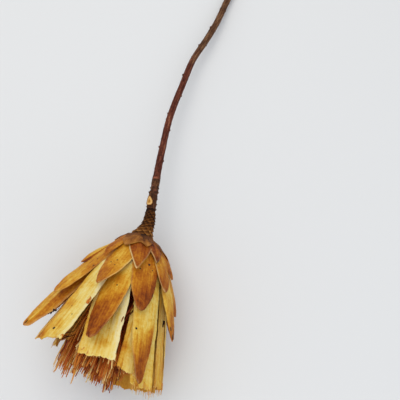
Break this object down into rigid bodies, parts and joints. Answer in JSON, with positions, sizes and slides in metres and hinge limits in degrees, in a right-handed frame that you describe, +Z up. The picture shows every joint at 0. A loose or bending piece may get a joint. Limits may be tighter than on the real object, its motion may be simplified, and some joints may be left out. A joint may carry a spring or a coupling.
{
  "type": "sugarbush protea",
  "caption": "Single dried sugarbush protea lying on its side: layered leathery bracts round a brush of dry florets, a scaly neck and a thin curved woody stem cut plainly.",
  "frame": {"origin": "centre of the bounding box at the surface that the flower lies on", "axes": "+Z up from the surface, +Y along the stem away from the bloom, +X to the right as seen with the bloom near and the stem far"},
  "size_m": [0.1022, 0.3759, 0.093],
  "materials": {
    "dry_bract": "dry leathery bract, straw yellow turning to brown, satin",
    "dry_floret": "dry red-brown hairs and styles, matt",
    "scaly_bark": "small dark overlapping scales, matt",
    "brown_bark": "smooth dry bark, reddish brown, satin"
  },
  "bodies": {
    "root": {"bracts": "dry_bract", "florets": "dry_floret", "scaly_neck": "scaly_bark", "stem": "brown_bark"}
  },
  "joints": []
}
